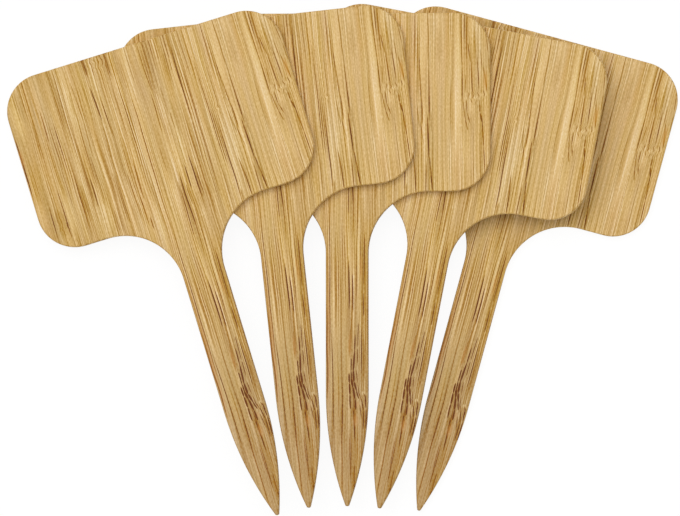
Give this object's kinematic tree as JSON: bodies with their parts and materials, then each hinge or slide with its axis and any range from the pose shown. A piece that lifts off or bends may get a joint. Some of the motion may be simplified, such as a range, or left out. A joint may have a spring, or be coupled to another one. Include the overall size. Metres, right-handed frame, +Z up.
{
  "type": "plant label stakes",
  "caption": "Set of flat T-shaped bamboo plant labels fanned out on a table, each a wide writing head on a pointed stem, glued up from bamboo strips.",
  "frame": {"origin": "on the table, under the middle of the whole fan", "axes": "+Z up from the table, +X along the fan from the label on top to the label at the bottom, +Y from the points of the stems towards the heads"},
  "size_m": [0.1362, 0.1038, 0.0104],
  "materials": {
    "bamboo_tan": "satin",
    "bamboo_golden": "satin",
    "bamboo_pale": "satin"
  },
  "bodies": {
    "label_1": {"label_1_strip_01": "bamboo_tan", "label_1_strip_02": "bamboo_tan", "label_1_strip_03": "bamboo_golden", "label_1_strip_04": "bamboo_tan", "label_1_strip_05": "bamboo_pale", "label_1_strip_06": "bamboo_tan", "label_1_strip_07": "bamboo_golden", "label_1_strip_08": "bamboo_golden", "label_1_strip_09": "bamboo_pale", "label_1_strip_10": "bamboo_tan"},
    "label_2": {"label_2_strip_01": "bamboo_tan", "label_2_strip_02": "bamboo_tan", "label_2_strip_03": "bamboo_golden", "label_2_strip_04": "bamboo_tan", "label_2_strip_05": "bamboo_pale", "label_2_strip_06": "bamboo_tan", "label_2_strip_07": "bamboo_golden", "label_2_strip_08": "bamboo_golden", "label_2_strip_09": "bamboo_pale", "label_2_strip_10": "bamboo_tan"},
    "label_3": {"label_3_strip_01": "bamboo_tan", "label_3_strip_02": "bamboo_tan", "label_3_strip_03": "bamboo_golden", "label_3_strip_04": "bamboo_tan", "label_3_strip_05": "bamboo_pale", "label_3_strip_06": "bamboo_tan", "label_3_strip_07": "bamboo_golden", "label_3_strip_08": "bamboo_golden", "label_3_strip_09": "bamboo_pale", "label_3_strip_10": "bamboo_tan"},
    "label_4": {"label_4_strip_01": "bamboo_tan", "label_4_strip_02": "bamboo_tan", "label_4_strip_03": "bamboo_golden", "label_4_strip_04": "bamboo_tan", "label_4_strip_05": "bamboo_pale", "label_4_strip_06": "bamboo_tan", "label_4_strip_07": "bamboo_golden", "label_4_strip_08": "bamboo_golden", "label_4_strip_09": "bamboo_pale", "label_4_strip_10": "bamboo_tan"},
    "label_5": {"label_5_strip_01": "bamboo_tan", "label_5_strip_02": "bamboo_tan", "label_5_strip_03": "bamboo_golden", "label_5_strip_04": "bamboo_tan", "label_5_strip_05": "bamboo_pale", "label_5_strip_06": "bamboo_tan", "label_5_strip_07": "bamboo_golden", "label_5_strip_08": "bamboo_golden", "label_5_strip_09": "bamboo_pale", "label_5_strip_10": "bamboo_tan"}
  },
  "joints": [
    {"name": "lift_label_4", "type": "slide", "parent": "label_5", "child": "label_4", "axis": [0, 0, 1], "range_m": [0, 0.03]},
    {"name": "lift_label_3", "type": "slide", "parent": "label_4", "child": "label_3", "axis": [0, 0, 1], "range_m": [0, 0.03]},
    {"name": "lift_label_2", "type": "slide", "parent": "label_3", "child": "label_2", "axis": [0, 0, 1], "range_m": [0, 0.03]},
    {"name": "lift_label_1", "type": "slide", "parent": "label_2", "child": "label_1", "axis": [0, 0, 1], "range_m": [0, 0.03]}
  ]
}
